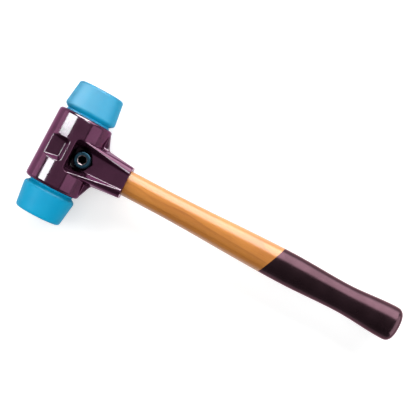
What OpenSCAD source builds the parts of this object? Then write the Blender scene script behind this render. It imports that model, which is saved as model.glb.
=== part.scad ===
// Soft face hammer: a split cast head that one screw clamps over two push-in faces and a wooden handle.
// Lengths are in millimetres. X runs along the handle, Y along the face axis, Z along the clamp screw.
// The shapes are drawn round the head's centre, and place() then sets the hammer down on its back.

/* [Barrel] */
// Outer diameter of the barrel
barrel_d = 44.7; // [43:0.1:48]
// How far the barrel stands off the face axis, away from the handle
barrel_offset = 0.55; // [0:0.05:0.8]
// Length of the barrel, rim to rim
barrel_l = 59; // [54:0.1:66]
// Rounding of the barrel's outer rims
rim_round = 2.5; // [1:0.1:3.4]
// Gap that the clamp leaves between the two halves
split_gap = 1.2; // [0.6:0.1:2]
// Wall between each face's shank and the handle's tenon
bulkhead_t = 2.4; // [1.5:0.1:4]

/* [Soft faces] */
// Diameter of a face's shank
shank_d = 36; // [33:0.1:37]
// Play between a shank and its bore, on the radius
shank_play = 0.2; // [0.1:0.05:0.4]
// Play between the end of a shank and the bulkhead
shank_end_play = 0.3; // [0.2:0.05:0.6]
// Chamfer at the end of a shank
shank_chamfer = 1.5; // [0.5:0.1:3]
// Largest diameter of a face
face_d = 42.4; // [39:0.1:44]
// Diameter of the striking end, measured to its sharp corner
strike_d = 36.8; // [33:0.1:40]
// How far a face stands out of the barrel
face_h = 24.6; // [18:0.1:30]
// Height of the neck that shows between the rim and the face's flare
neck_h = 1.7; // [1.3:0.1:4]
// Width of the groove that ends the neck
groove_w = 0.7; // [0.4:0.1:1.2]
// Depth of that groove
groove_depth = 0.6; // [0.3:0.1:1]
// Height of the flare from the neck to the largest diameter
flare_h = 2.3; // [1.5:0.1:6]
// Rounding of the corner at the largest diameter
flare_round = 2.8; // [0.5:0.1:3]
// Rounding of the striking edge
strike_round = 2.6; // [0.5:0.1:4]

/* [Handle socket] */
// How far the webs carry the socket's root out from the barrel
web_out = 4.4; // [2:0.1:8]
// Thickness of the webs, both halves together
web_t = 7; // [4:0.1:12]
// Set-back of the webs from the barrel's rims
web_inset = 1.7; // [0.5:0.1:4]
// Rounding between a web and the socket
web_round = 3; // [1:0.1:5]
// Length of the socket from its root to its mouth
socket_l = 23.4; // [16:0.1:32]
// Wall of the socket at its mouth, beside the tenon
socket_wall = 3.3; // [2.5:0.1:5]
// How much wider the socket is at its root than at its mouth, on each side
socket_flare = 2.5; // [1:0.1:4]
// Rounding of the socket's shoulders at its mouth
mouth_round = 6; // [3:0.1:7]
// Rounding of the two ridges where they leave the barrel
ridge_round = 1.4; // [0.8:0.1:3]
// Width over the two ridges where they leave the barrel
ridge_w = 28; // [24:0.1:32]
// Place of the ridges' upper ends, from the face axis
ridge_x = 9; // [7:0.1:12]
// Height of the ridges at the mouth, above the channel floor
ridge_mouth_h = 0.4; // [0.2:0.1:1]

/* [Screw pocket and channel] */
// Place of the clamp screw, from the face axis
screw_x = 13.2; // [11:0.1:15]
// Wall under the screw's seat, above the tenon
seat_wall = 2.7; // [2:0.1:4]
// Depth of the hexagonal seat below the channel floor
seat_depth = 2.8; // [1.5:0.1:4]
// Play of the screw's head or the nut in that seat, at each flat
seat_play = 0.4; // [0.1:0.05:0.5]
// Floor left between the seat and the foot of the pocket's back wall
seat_margin = 0.2; // [0.1:0.05:1]
// Width of the channel floor beside the screw
channel_w = 16.4; // [14:0.1:18]
// Width of the channel floor at the mouth
channel_mouth_w = 12.6; // [9:0.1:14]
// Slope of the channel's side walls from upright, in degrees
channel_draft = 30; // [15:1:36]
// Slope of the pocket's back wall from upright, in degrees
pocket_draft = 9; // [4:1:20]
// Corner rounding at the pocket's floor
pocket_round = 3; // [1:0.1:4]

/* [Side recess] */
// Depth of the recess below the top of the barrel
recess_depth = 5.6; // [4:0.1:8]
// Place of the end wall's foot, behind the face axis
recess_x = 3.7; // [2:0.1:6]
// Width of the recess's floor at its end wall
recess_w = 12; // [8:0.1:16]
// Width of the recess's floor where it runs out of the barrel
recess_mouth_w = 16; // [11:0.1:20]
// Slope of the recess's walls from upright, in degrees
recess_draft = 31; // [15:1:42]
// Corner rounding at the recess's floor
recess_round = 1.2; // [0.5:0.1:2.5]

/* [Clamp screw and nut] */
// Thread diameter of the screw
screw_d = 8; // [6:0.1:9]
// Diameter of the screw's head
head_d = 13; // [11:0.1:14]
// Height of the screw's head
head_h = 8; // [5:0.1:9]
// Edge rounding of the screw's head
head_round = 1; // [0.3:0.1:1.5]
// Hexagon socket, across flats
hex_af = 6; // [5:0.1:7]
// Depth of the hexagon socket
hex_depth = 4.6; // [3:0.1:5]
// Chamfer round the mouth of the hexagon socket
hex_chamfer = 0.3; // [0.1:0.05:0.6]
// Thread length that stands out of the nut
thread_out = 4.2; // [1:0.1:5]
// Chamfer at the end of the screw
thread_chamfer = 0.9; // [0.3:0.1:1.5]
// Play of the screw in the halves and in the handle, on the radius
screw_play = 0.45; // [0.3:0.05:0.8]
// Play between the screw and the nut, on the radius
thread_play = 0.05; // [0.02:0.01:0.1]
// Nut, across flats
nut_af = 13; // [12:0.1:14]
// Overall height of the nut
nut_h = 8; // [6.5:0.1:10]
// Height of the nut's hexagon
nut_hex_h = 5.6; // [4:0.1:6]
// Diameter of the nut's round collar
collar_d = 12; // [11:0.1:12.6]
// Outer diameter of the locking ring
ring_d = 10.6; // [10:0.1:11]
// Height of the locking ring
ring_h = 1.8; // [1:0.1:2]
// Height of the lip that holds the locking ring
ring_lip = 0.4; // [0.3:0.1:0.8]
// How far that lip reaches in over the locking ring
ring_lip_in = 0.5; // [0.3:0.1:0.8]

/* [Handle] */
// Width of the handle's neck, along the face axis
neck_w = 20.3; // [19:0.1:22]
// Thickness of the handle's neck
neck_t = 17.4; // [16:0.1:18.5]
// Width that the shoulder leaves on each side of the tenon
shoulder_w = 0.65; // [0.3:0.05:1.2]
// Thickness that the shoulder leaves above and below the tenon
shoulder_t = 2.7; // [2:0.05:3.2]
// Length of the tenon past the screw
tenon_tail = 17; // [11:0.1:19]
// Play between the tenon and the halves
tenon_play = 0.2; // [0.1:0.05:0.4]
// Play past the tenon's end
tenon_end_play = 1; // [0.5:0.1:2]
// Gap between the handle's shoulder and the socket's mouth
shoulder_gap = 0.2; // [0.1:0.05:0.5]
// Length of the even neck outside the socket
neck_l = 25; // [10:0.5:40]
// Length from the neck to the swell
swell_l = 115; // [80:0.5:150]
// Width of the swell
swell_w = 25.7; // [22:0.1:30]
// Thickness of the swell
swell_t = 22; // [19:0.1:26]
// Length from the swell to the waist
waist_l = 48; // [30:0.5:60]
// Width of the waist
waist_w = 23; // [20:0.1:26]
// Thickness of the waist
waist_t = 19.8; // [17:0.1:23]
// Length from the waist to the butt
butt_l = 41; // [25:0.5:55]
// Width of the butt
butt_w = 27.5; // [24:0.1:32]
// Thickness of the butt
butt_t = 23.6; // [20:0.1:28]
// Length of the butt's domed end
dome_l = 7.8; // [4:0.1:12]
// Fullness of the domed end, where 2 is an ellipse
dome_power = 2.8; // [2:0.1:4]
// Fullness of the handle's oval section, where 2 is an ellipse
oval_power = 2.25; // [2:0.05:3]

/* [Hidden] */
$fn = 96;

// Colours as the photograph shows them
enamel = [0.36, 0.19, 0.31];
face_blue = [0.08, 0.62, 0.84];
zinc_steel = [0.38, 0.46, 0.52];
ring_white = [0.86, 0.86, 0.82];
honey_wood = [0.80, 0.52, 0.26];

// Head
barrel_r = barrel_d / 2;
barrel_half = barrel_l / 2;
barrel_front_x = barrel_r - barrel_offset;
bore_r = shank_d / 2 + shank_play;
rim_wall = barrel_front_x - bore_r;
rim_r = min(rim_round, rim_wall - 0.2);

// Tenon, and what keeps clear of it
tenon_w = neck_w - 2 * shoulder_w;
tenon_t = neck_t - 2 * shoulder_t;
tenon_x = screw_x - tenon_tail;
cavity_w = tenon_w + 2 * tenon_play;
cavity_t = tenon_t + 2 * tenon_play;
bulkhead_y = cavity_w / 2 + bulkhead_t;
shank_l = barrel_half - bulkhead_y - shank_end_play;

// Socket
root_x = barrel_front_x + web_out;
mouth_x = root_x + socket_l;
mouth_w = cavity_w + 2 * socket_wall;
root_w = mouth_w + 2 * socket_flare;
socket_taper = socket_flare / socket_l;
ridge_base_w = root_w + 2 * socket_taper * (root_x - ridge_x);
ridge_z = sqrt(pow(barrel_r, 2) - pow(ridge_x + barrel_offset, 2));
seat_z = cavity_t / 2 + seat_wall;
channel_z = seat_z + seat_depth;
mouth_z = channel_z + ridge_mouth_h;
seat_r = (max(nut_af, head_d) + 2 * seat_play) / sqrt(3);
pocket_x = screw_x - seat_r - seat_margin;
recess_z = barrel_r - recess_depth;
recess_mouth_x = barrel_offset + sqrt(pow(barrel_r, 2) - pow(recess_z, 2));

// Screw and nut
screw_r = screw_d / 2;
screw_top = seat_z + head_h;
screw_end = seat_z + nut_h + thread_out;
hole_r = screw_r + screw_play;
thread_hole_r = screw_r + thread_play;
ring_r = ring_d / 2;
hex_r = hex_af / sqrt(3);
nut_r = nut_af / sqrt(3);

// Handle stations, from the mouth to the butt
handle_x = mouth_x + shoulder_gap;
neck_x = handle_x + neck_l;
swell_x = neck_x + swell_l;
waist_x = swell_x + waist_l;
butt_x = waist_x + butt_l;
end_x = butt_x + dome_l;
station_x = [handle_x, neck_x, swell_x, waist_x, butt_x];
station_w = [neck_w, neck_w, swell_w, waist_w, butt_w];
station_t = [neck_t, neck_t, swell_t, waist_t, butt_t];
loft_rings = 34;
dome_rings = 9;
loft_sides = 48;

// Where the hammer stands: middle of its length, and the height of its centre as it lies on its back
middle_x = (end_x - barrel_r - barrel_offset) / 2;
rest_z = max(barrel_r, screw_end);
far = 400;
plate = 0.5;

// Geometry helpers
function unit(v) = v / norm(v);

// Points of the rounding at corner b of the line a, b, c
function corner_arc(a, b, c, r, n = 8) =
    let (u = unit(a - b), v = unit(c - b), half = acos(u * v) / 2,
         centre = b + unit(u + v) * r / sin(half),
         start = b + u * r / tan(half) - centre,
         turn = (cross(b - a, c - b) > 0 ? 1 : -1) * (180 - 2 * half))
    [for (i = [0:n]) let (t = atan2(start[1], start[0]) + turn * i / n) centre + r * [cos(t), sin(t)]];

// Smooth step between stations xs with values vs
function between(x, xs, vs, i = 0) =
    i >= len(xs) - 2 || x <= xs[i + 1]
        ? let (t = min(1, (x - xs[i]) / (xs[i + 1] - xs[i])))
            vs[i] + (vs[i + 1] - vs[i]) * (1 - cos(180 * t)) / 2
        : between(x, xs, vs, i + 1);

function signed_power(v, p) = sign(v) * pow(abs(v), p);

// Share of the butt's section that is left at a place on the domed end
function dome_share(x) = x <= butt_x ? 1 : pow(1 - pow((x - butt_x) / dome_l, dome_power), 1 / dome_power);

function handle_ring(x) =
    let (w = between(x, station_x, station_w) / 2 * dome_share(x),
         t = between(x, station_x, station_t) / 2 * dome_share(x))
    [for (i = [0:loft_sides - 1]) let (a = 360 * i / loft_sides)
        [x, w * signed_power(cos(a), 2 / oval_power), t * signed_power(sin(a), 2 / oval_power)]];

module place() {
    translate([-middle_x, 0, rest_z]) children();
}

module along_y() {
    rotate([-90, 0, 0]) children();
}

// Two short posts of radius r, mirrored in Y
module post_pair(x, y, z, r) {
    for (side = [-1, 1]) translate([x, side * y, z]) cylinder(r = r, h = plate, $fn = 32);
}

// Two short rods of radius r that lie along X, mirrored in Y
module rod_pair(x, y, z, r) {
    for (side = [-1, 1]) translate([x, side * y, z]) rotate([0, 90, 0]) cylinder(r = r, h = plate, $fn = 48);
}

// Bar with round edges that lies along X
module round_edged_bar(w, t, x0, x1) {
    translate([x0, 0, 0]) rotate([90, 0, 90]) linear_extrude(x1 - x0) {
        square([w - t, t], center = true);
        for (side = [-1, 1]) translate([side * (w - t) / 2, 0]) circle(d = t);
    }
}

// The barrel, with rounded rims
module barrel_body() {
    low = [barrel_r, -barrel_half];
    high = [barrel_r, barrel_half];
    profile = concat([[0, -barrel_half]],
                     corner_arc([0, -barrel_half], low, high, rim_r),
                     corner_arc(low, high, [0, barrel_half], rim_r),
                     [[0, barrel_half]]);
    translate([-barrel_offset, 0, 0]) along_y() rotate_extrude() polygon(profile);
}

// Flat webs in the split plane that brace the socket against the barrel
module webs() {
    start = [barrel_front_x - rim_r / 4, barrel_half - web_inset];
    root = [root_x, root_w / 2];
    mouth = [mouth_x, mouth_w / 2];
    side = concat([[0, start[1]], start], corner_arc(start, root, mouth, web_round, 6), [mouth]);
    other_side = [for (i = [len(side) - 1:-1:0]) [side[i][0], -side[i][1]]];
    linear_extrude(web_t, center = true) polygon(concat(side, other_side));
}

// Upper half of the socket's outer body, before the channel is cut between its ridges
module socket_body() {
    base = [[ridge_x, ridge_base_w / 2], [mouth_x, mouth_w / 2],
            [mouth_x, -mouth_w / 2], [ridge_x, -ridge_base_w / 2]];
    hull() {
        linear_extrude(plate) polygon(base);
        rod_pair(ridge_x, ridge_w / 2 - ridge_round, ridge_z - ridge_round, ridge_round);
        rod_pair(mouth_x - plate, mouth_w / 2 - mouth_round, mouth_z - mouth_round, mouth_round);
    }
}

// Drafted pocket round the screw that runs out along the socket as an open channel
module channel_cut() {
    rise = far / 20;
    out_x = mouth_x + socket_l;
    taper = (channel_w - channel_mouth_w) / 2 / (mouth_x - screw_x);
    out_w = channel_mouth_w - 2 * taper * socket_l;
    side_gain = rise * tan(channel_draft);
    back_gain = rise * tan(pocket_draft);
    lip_round = pocket_round + back_gain;
    hull() {
        post_pair(pocket_x + pocket_round, channel_w / 2 - pocket_round, channel_z, pocket_round);
        translate([out_x, -out_w / 2, channel_z]) cube([plate, out_w, plate]);
        post_pair(pocket_x - back_gain + lip_round, channel_w / 2 + side_gain - lip_round,
                  channel_z + rise, lip_round);
        translate([out_x, -out_w / 2 - side_gain, channel_z + rise])
            cube([plate, out_w + 2 * side_gain, plate]);
    }
}

// Drafted recess in the barrel's side, open where its floor runs out of the barrel
module recess_cut() {
    rise = 2 * recess_depth;
    gain = rise * tan(recess_draft);
    lip_round = recess_round + gain / 2;
    out_w = recess_w + (recess_mouth_w - recess_w) * (barrel_d - recess_x) / (recess_mouth_x - recess_x);
    hull() {
        post_pair(-recess_x - recess_round, recess_w / 2 - recess_round, recess_z, recess_round);
        translate([-barrel_d, -out_w / 2, recess_z]) cube([plate, out_w, plate]);
        post_pair(-recess_x + gain - lip_round, recess_w / 2 + gain - lip_round, recess_z + rise, lip_round);
        translate([-barrel_d, -out_w / 2 - gain, recess_z + rise]) cube([plate, out_w + 2 * gain, plate]);
    }
}

// One casting, drawn above the split plane. Both halves are the same casting, so its hexagonal seat takes
// the screw's head in front and the nut behind.
module casting() {
    difference() {
        union() {
            barrel_body();
            webs();
            socket_body();
        }
        translate([-far / 2, -far / 2, split_gap / 2 - far]) cube(far);
        for (side = [-1, 1])
            translate([0, side * (bulkhead_y + barrel_half), 0]) along_y()
                cylinder(r = bore_r, h = 2 * barrel_half, center = true);
        round_edged_bar(cavity_w, cavity_t, tenon_x - tenon_end_play, mouth_x + plate);
        translate([screw_x, 0, 0]) cylinder(r = hole_r, h = far / 10);
        translate([screw_x, 0, seat_z]) cylinder(r = seat_r, h = seat_depth + plate, $fn = 6);
        channel_cut();
        recess_cut();
    }
}

module front_housing_half() {
    color(enamel) place() casting();
}

module rear_housing_half() {
    color(enamel) place() rotate([180, 0, 0]) casting();
}

// A face drawn along Z, with the barrel's rim at height 0
module soft_face() {
    shank_r = shank_d / 2;
    neck_top = [shank_r, neck_h];
    widest = [face_d / 2, neck_h + flare_h];
    strike = [strike_d / 2, face_h];
    centre = [0, face_h];
    profile = concat([[0, -shank_l], [shank_r - shank_chamfer, -shank_l], [shank_r, shank_chamfer - shank_l]],
                     [[shank_r, neck_h - groove_w],
                      [shank_r - groove_depth, neck_h - groove_w / 2], neck_top],
                     corner_arc(neck_top, widest, strike, flare_round),
                     corner_arc(widest, strike, centre, strike_round),
                     [centre]);
    translate([0, 0, barrel_half]) rotate_extrude() polygon(profile);
}

module upper_face() {
    color(face_blue) place() along_y() soft_face();
}

module lower_face() {
    color(face_blue) place() mirror([0, 1, 0]) along_y() soft_face();
}

module clamp_screw() {
    head_r = head_d / 2;
    top = [head_r, screw_top];
    foot = [head_r, seat_z];
    profile = concat([[0, -screw_end], [screw_r - thread_chamfer, -screw_end],
                      [screw_r, thread_chamfer - screw_end], [screw_r, seat_z], foot],
                     corner_arc(foot, top, [0, screw_top], head_round, 6),
                     [[0, screw_top]]);
    color(zinc_steel) place() translate([screw_x, 0, 0]) difference() {
        rotate_extrude() polygon(profile);
        translate([0, 0, screw_top - hex_depth]) cylinder(r = hex_r, h = head_h, $fn = 6);
        translate([0, 0, screw_top - hex_chamfer])
            cylinder(r1 = hex_r, r2 = hex_r + 2 * hex_chamfer, h = 2 * hex_chamfer);
    }
}

// The nut lies against the rear half's seat, and its collar points away from the head
module nut_frame() {
    place() translate([screw_x, 0, -seat_z]) mirror([0, 0, 1]) children();
}

module lock_nut() {
    ring_z = nut_h - ring_lip - ring_h - thread_play;
    color(zinc_steel) nut_frame() difference() {
        union() {
            cylinder(r = nut_r, h = nut_hex_h, $fn = 6);
            cylinder(d = collar_d, h = nut_h);
        }
        translate([0, 0, -plate]) cylinder(r = thread_hole_r, h = nut_h);
        translate([0, 0, ring_z]) cylinder(r = ring_r + thread_play, h = ring_h + 2 * thread_play);
        translate([0, 0, ring_z]) cylinder(r = ring_r - ring_lip_in, h = nut_h);
    }
}

module nut_ring() {
    color(ring_white) nut_frame() translate([0, 0, nut_h - ring_lip - ring_h]) difference() {
        cylinder(r = ring_r, h = ring_h);
        translate([0, 0, -plate]) cylinder(r = thread_hole_r, h = ring_h + 2 * plate);
    }
}

// Oval loft from the shoulder to the domed butt
module handle_loft() {
    straight = [for (i = [0:loft_rings]) handle_x + (butt_x - handle_x) * i / loft_rings];
    domed = [for (i = [1:dome_rings - 1]) butt_x + dome_l * sin(90 * i / dome_rings)];
    rings = [for (x = concat(straight, domed)) handle_ring(x)];
    last = len(rings) - 1;
    points = concat([for (ring = rings) each ring], [[end_x, 0, 0]]);
    pole = len(points) - 1;
    function at(ring, i) = ring * loft_sides + i % loft_sides;
    walls = [for (r = [0:last - 1]) for (i = [0:loft_sides - 1])
        each [[at(r, i), at(r + 1, i), at(r + 1, i + 1)], [at(r, i), at(r + 1, i + 1), at(r, i + 1)]]];
    tip = [for (i = [0:loft_sides - 1]) [at(last, i), pole, at(last, i + 1)]];
    shoulder = [[for (i = [0:loft_sides - 1]) i]];
    polyhedron(points, concat(walls, tip, shoulder));
}

module handle() {
    color(honey_wood) place() difference() {
        union() {
            handle_loft();
            round_edged_bar(tenon_w, tenon_t, tenon_x, handle_x + plate);
        }
        translate([screw_x, 0, 0]) cylinder(r = hole_r, h = far / 10, center = true);
    }
}

front_housing_half();
rear_housing_half();
upper_face();
lower_face();
clamp_screw();
lock_nut();
nut_ring();
handle();
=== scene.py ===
"""Looks of a soft face hammer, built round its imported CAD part: head, soft faces, screw, nut and handle."""
import math
from contextlib import contextmanager

import bmesh
import bpy
from bpy.props import FloatProperty, FloatVectorProperty, IntProperty, PointerProperty
from mathutils import Matrix, Vector


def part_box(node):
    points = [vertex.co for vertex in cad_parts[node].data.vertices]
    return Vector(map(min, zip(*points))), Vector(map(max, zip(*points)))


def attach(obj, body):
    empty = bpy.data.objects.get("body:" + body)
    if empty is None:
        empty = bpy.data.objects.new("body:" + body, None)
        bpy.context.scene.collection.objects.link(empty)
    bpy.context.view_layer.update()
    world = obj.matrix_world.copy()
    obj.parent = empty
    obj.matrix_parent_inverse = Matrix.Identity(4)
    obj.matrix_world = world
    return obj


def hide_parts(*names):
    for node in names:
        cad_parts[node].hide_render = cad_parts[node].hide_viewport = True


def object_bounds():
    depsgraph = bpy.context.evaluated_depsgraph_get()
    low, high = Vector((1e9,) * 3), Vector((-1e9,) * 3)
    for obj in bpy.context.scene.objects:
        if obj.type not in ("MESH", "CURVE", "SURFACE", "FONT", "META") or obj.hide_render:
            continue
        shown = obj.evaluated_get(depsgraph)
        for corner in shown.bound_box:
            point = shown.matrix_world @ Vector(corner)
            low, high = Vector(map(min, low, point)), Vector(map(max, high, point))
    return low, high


bl_info = {
    "name": "Soft Face Hammer",
    "version": (1, 0, 0),
    "blender": (4, 5, 0),
    "location": "View3D > Sidebar > Hammer",
    "description": "Builds the enamelled head, soft faces, clamp screw, nut and handle of a soft face hammer",
    "category": "Add Mesh",
}

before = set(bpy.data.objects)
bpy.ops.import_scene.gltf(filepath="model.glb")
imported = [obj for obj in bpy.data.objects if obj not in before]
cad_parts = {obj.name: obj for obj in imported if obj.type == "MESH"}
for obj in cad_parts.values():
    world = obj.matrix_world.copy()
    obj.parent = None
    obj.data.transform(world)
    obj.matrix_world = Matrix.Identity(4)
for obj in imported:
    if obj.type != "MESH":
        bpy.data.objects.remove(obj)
CAD_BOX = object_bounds()

MM = 0.001
FACE_LOW, FACE_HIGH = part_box("upper_face")
HALF_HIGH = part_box("front_housing_half")[1]
SCREW_LOW, SCREW_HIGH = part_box("clamp_screw")
NUT_LOW, NUT_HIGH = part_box("lock_nut")
RING_LOW, RING_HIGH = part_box("nut_ring")
HANDLE_LOW, HANDLE_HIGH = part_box("handle")
HEAD = Vector(((FACE_LOW.x + FACE_HIGH.x) / 2, 0, (FACE_LOW.z + FACE_HIGH.z) / 2))
SCREW_X = (SCREW_LOW.x + SCREW_HIGH.x) / 2
RIM_Y = HALF_HIGH.y
MOUTH_X = HALF_HIGH.x
STATIONS = ("Neck", "Swell", "Waist", "Butt")


# Settings that a user would change

def length(label, about, millimetres, lowest=0):
    return FloatProperty(name=label, description=about, default=millimetres * MM, min=lowest * MM,
                         precision=5, subtype="DISTANCE", unit="LENGTH")


def count(label, about, default):
    return IntProperty(name=label, description=about, default=default, min=1)


def share(label, about, default):
    return FloatProperty(name=label, description=about, default=default, min=0, soft_max=1, subtype="FACTOR")


def amount(label, about, default):
    return FloatProperty(name=label, description=about, default=default, min=0)


def colour(label, about, red, green, blue):
    return FloatVectorProperty(name=label, description=about, default=(red, green, blue), min=0, max=1,
                               subtype="COLOR")


class HousingSettings(bpy.types.PropertyGroup):
    """The two cast halves of the head."""
    cell: length("Cell", "Cell of the remesh that rounds the edges", 0.4)
    passes: count("Smoothing passes", "Passes of smoothing over those edges", 2)
    smoothing: share("Smoothing", "Strength of each pass", 0.5)
    enamel: colour("Enamel", "Colour of the enamel", 0.082, 0.0255, 0.055)
    enamel_deep: colour("Deep enamel", "Colour where the enamel lies thicker", 0.070, 0.0215, 0.0465)
    enamel_edge: colour("Enamel edge", "Tint of the enamel at a slant", 0.75, 0.40, 0.61)
    gloss: share("Roughness", "Roughness of the enamel", 0.11)
    # Painted shade: a near-black colour and its reach round the screw's seat, up the pocket's wall behind it
    # and faintly in the side recess.
    painted_shade: colour("Grime", "Colour of the oily grime round the screw", 0.006, 0.002, 0.004)
    painted_shade_r: length("Grime radius", "Reach of the grime round the screw's axis", 11.2)
    painted_shade_h: length("Grime height", "Reach of the grime up the pocket's wall", 8)
    recess_shade: share("Recess grime", "Share of the grime in the side recess", 0.25)
    floor_z: length("Channel floor", "Height of the channel's floor over the head's centre", 11.7)
    barrel_r: length("Barrel radius", "Radius of the barrel", 22.35)


class FaceSettings(bpy.types.PropertyGroup):
    """The two push-in soft faces."""
    shank_r: length("Shank radius", "Radius of the shank", 18)
    shank_l: length("Shank length", "Length of the shank behind the rim", 17.1)
    shank_chamfer: length("Shank chamfer", "Chamfer at the end of the shank", 1.5)
    neck_h: length("Neck height", "Height of the neck over the rim", 1.7)
    groove_w: length("Groove width", "Width of the neck's groove", 0.7)
    groove_depth: length("Groove depth", "Depth of that groove", 0.6)
    flare_h: length("Flare height", "Height of the flare over the neck", 2.3)
    flare_round: length("Flare rounding", "Rounding of the flare's corner", 2.8)
    widest_r: length("Widest radius", "Radius at the flare's corner", 21.2)
    strike_r: length("Striking radius", "Radius of the striking end", 18.4)
    strike_round: length("Striking rounding", "Rounding of the striking edge", 2.6)
    height: length("Height", "Height of the face over the rim", 24.6)
    segments: count("Segments", "Segments round the face", 192)
    blue: colour("Blue", "Colour of the elastomer", 0.0, 0.31, 0.55)
    blue_light: colour("Light blue", "Paler colour of its mottling", 0.0, 0.33, 0.57)


class FastenerSettings(bpy.types.PropertyGroup):
    """Clamp screw, self-locking nut and its ring."""
    thread_r: length("Thread radius", "Outer radius of the thread", 4)
    pitch: length("Pitch", "Pitch of the thread", 1.25)
    thread_depth: length("Thread depth", "Depth of the thread", 0.72)
    end_chamfer: length("End chamfer", "Chamfer at the end of the thread", 0.9)
    head_r: length("Head radius", "Radius of the screw's head", 6.5)
    head_h: length("Head height", "Height of the screw's head", 8)
    head_round: length("Head rounding", "Rounding of the head's upper edge", 1)
    hex_af: length("Socket", "Hexagon socket, across flats", 6)
    hex_depth: length("Socket depth", "Depth of the hexagon socket", 4.6)
    chamfer: length("Socket chamfer", "Chamfer round the socket's mouth", 0.35)
    knurls: count("Knurls", "Knurls round the screw's head", 60)
    knurl_depth: length("Knurl depth", "Depth of the knurls", 0.16)
    nut_af: length("Nut", "Nut across flats", 13)
    nut_hex_h: length("Hexagon height", "Height of the nut's hexagon", 5.6)
    nut_chamfer: length("Nut chamfer", "Chamfer of the nut's bore", 0.5)
    collar_r: length("Collar radius", "Radius of the nut's round collar", 6)
    collar_round: length("Collar rounding", "Rounding of the collar's edge", 0.7)
    bore_r: length("Bore radius", "Radius of the nut's bore", 4.05)
    lip_r: length("Lip radius", "Inner radius of the lip over the ring", 4.8)
    segments: count("Segments", "Segments round the screw and the nut", 120)
    steel: colour("Steel", "Colour of the passivated steel", 0.023, 0.068, 0.103)
    # Pale pinkish chamfer of the socket: wear from the key, and partly a painted highlight for the bright
    # ring there.
    worn_and_glint: colour("Worn steel", "Colour of the worn chamfer", 0.34, 0.27, 0.28)
    nylon: colour("Nylon", "Colour of the locking ring", 0.74, 0.74, 0.69)


class HandleSettings(bpy.types.PropertyGroup):
    """Oval wooden handle with its lacquered butt."""
    shoulder_gap: length("Shoulder gap", "Gap between the shoulder and the socket", 0.2)
    neck_l: length("Neck length", "Length of the even neck", 25)
    swell_l: length("Swell length", "Length from the neck to the swell", 115)
    waist_l: length("Waist length", "Length from the swell to the waist", 48)
    butt_l: length("Butt length", "Length from the waist to the butt", 41)
    neck_w: length("Neck width", "Width of the neck", 20.3)
    neck_t: length("Neck thickness", "Thickness of the neck", 17.4)
    swell_w: length("Swell width", "Width of the swell", 25.7)
    swell_t: length("Swell thickness", "Thickness of the swell", 22)
    waist_w: length("Waist width", "Width of the waist", 23)
    waist_t: length("Waist thickness", "Thickness of the waist", 19.8)
    butt_w: length("Butt width", "Width of the butt", 27.5)
    butt_t: length("Butt thickness", "Thickness of the butt", 23.6)
    dome_power: amount("Dome fullness", "Fullness of the domed end, where 2 is an ellipse", 2.8)
    oval_power: amount("Oval fullness", "Fullness of the oval section, where 2 is an ellipse", 2.25)
    tenon_w: length("Tenon width", "Width of the tenon", 19)
    tenon_t: length("Tenon thickness", "Thickness of the tenon", 12)
    hole_r: length("Hole radius", "Radius of the screw's hole", 4.45)
    rows: count("Rows", "Rows of faces along the handle", 150)
    dome_rows: count("Dome rows", "Rows of faces on the domed end", 22)
    segments: count("Segments", "Segments round the handle", 128)
    lacquer_x: length("Lacquer line", "Where the lacquer starts, from the head's centre", 175.9)
    lacquer_slant: share("Lacquer slant", "Slant of the lacquer's edge", 0.4156)
    wood_light: colour("Light wood", "Colour of the early wood", 0.64, 0.245, 0.040)
    wood_dark: colour("Dark wood", "Colour of the late wood and the pores", 0.375, 0.112, 0.018)
    lacquer: colour("Lacquer", "Colour of the lacquer on the butt", 0.046, 0.024, 0.031)
    lacquer_edge: colour("Lacquer edge", "Tint of the lacquer at a slant", 0.85, 0.47, 0.56)


class StageSettings(bpy.types.PropertyGroup):
    """Floor, light and camera."""
    camera_x: length("Camera X", "Where the camera looks, along the handle", -17.75, lowest=-1000)
    camera_y: length("Camera Y", "Where the camera looks, along the faces", 12.6, lowest=-1000)
    camera_height: length("Camera height", "Height of the camera over the handle's axis", 750)
    camera_turn: FloatProperty(name="Camera turn", description="Turn of the camera about its own axis",
                               default=math.radians(27.97), subtype="ANGLE", unit="ROTATION")
    view_width: length("View width", "Width of the view at the handle's axis", 321.2)
    key: amount("Key light", "Brightness of the large soft light, where 1 is white", 4.0)
    face_key: amount("Face light", "Brightness of the soft light over the two faces", 1.4)
    top: amount("Top light", "Brightness of the soft light overhead", 1.15)
    side: amount("Side light", "Brightness of the soft light beyond the head", 2.2)
    sheen: amount("Key sheen", "Brightness of the key light where it is mirrored", 5.6)
    sheen_colour: colour("Sheen colour", "Colour of the key light as the enamel mirrors it", 0.75, 1.0, 0.8)
    face_sheen: amount("Face sheen", "Brightness of the light that the upper face mirrors", 19)
    strip: amount("Strip light", "Brightness of the strips that the castings mirror", 46)
    strip_colour: colour("Strip colour", "Colour of the strips, turned white by the enamel", 0.38, 1.0, 0.56)
    fill: amount("Fill light", "Brightness of the cards beside the barrel", 2.0)
    ceiling: amount("Ceiling card", "Brightness of the card over the head", 0.54)
    zenith: share("Ceiling", "Brightness of the studio's ceiling", 0.05)
    horizon: share("Walls", "Brightness of the studio's walls", 0.3)
    floor: colour("Floor", "Colour of the floor", 0.8, 0.8, 0.8)
    floor_glow: share("Floor glow", "Light that the floor adds, to read as white", 0.5)
    fade_start: length("Fade start", "Where the lamps' light on the floor starts to fade", 500)
    fade_end: length("Fade end", "Where that light has faded", 1600)


SETTINGS = {
    "hammer_housing": HousingSettings,
    "hammer_faces": FaceSettings,
    "hammer_fasteners": FastenerSettings,
    "hammer_handle": HandleSettings,
    "hammer_stage": StageSettings,
}


# Node helpers

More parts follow.
